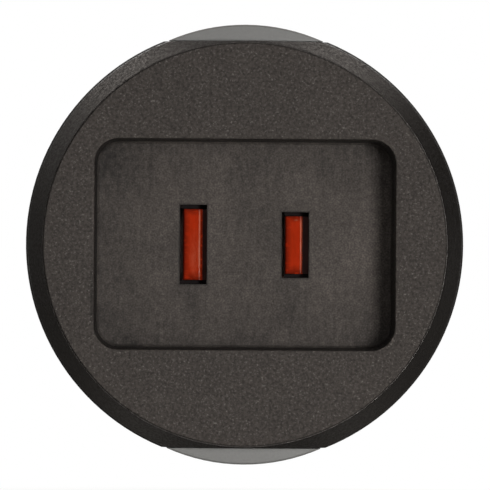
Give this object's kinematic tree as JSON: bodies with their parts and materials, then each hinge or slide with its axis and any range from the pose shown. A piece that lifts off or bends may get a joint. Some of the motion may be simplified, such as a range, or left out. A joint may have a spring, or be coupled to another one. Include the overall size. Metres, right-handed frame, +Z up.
{
  "type": "travel plug adapter",
  "caption": "Round two-tone travel adapter: recessed polarised two-blade socket with a sprung safety shutter in front, unearthed round-pin wall plug behind.",
  "frame": {"origin": "centre of the plug's end face, midway between the two round pins", "axes": "+Y along the pins, out of the plug; +Z up, as plugged into a wall with the pins level; +X to the right seen from the socket side"},
  "size_m": [0.0544, 0.0575, 0.0544],
  "materials": {
    "black_plastic": "fine spark-eroded texture, satin",
    "grey_plastic": "fine matt texture",
    "inner_plastic": "smooth moulded",
    "red_plastic": "smooth, slightly scuffed",
    "spring_steel": "bright drawn wire",
    "contact_brass": "stamped, bright",
    "plated_pin": "turned, nickel plated",
    "screw_steel": "zinc plated"
  },
  "bodies": {
    "case": {"front_cover": "black_plastic", "rear_body": "grey_plastic", "inner_plate": "inner_plastic", "shutter_spring": "spring_steel", "neutral_contact": "contact_brass", "line_contact": "contact_brass", "neutral_pin": "plated_pin", "line_pin": "plated_pin", "case_screws": "screw_steel", "plate_screws": "screw_steel"},
    "shutter": {"shutter": "red_plastic"}
  },
  "joints": [
    {"name": "shutter_slide", "type": "slide", "parent": "case", "child": "shutter", "axis": [0.5, 0.866, 0], "range_m": [0, 0.0046], "stiffness_N_per_m": 120, "springref_m": -0.006, "deforming": ["shutter_spring"]}
  ]
}
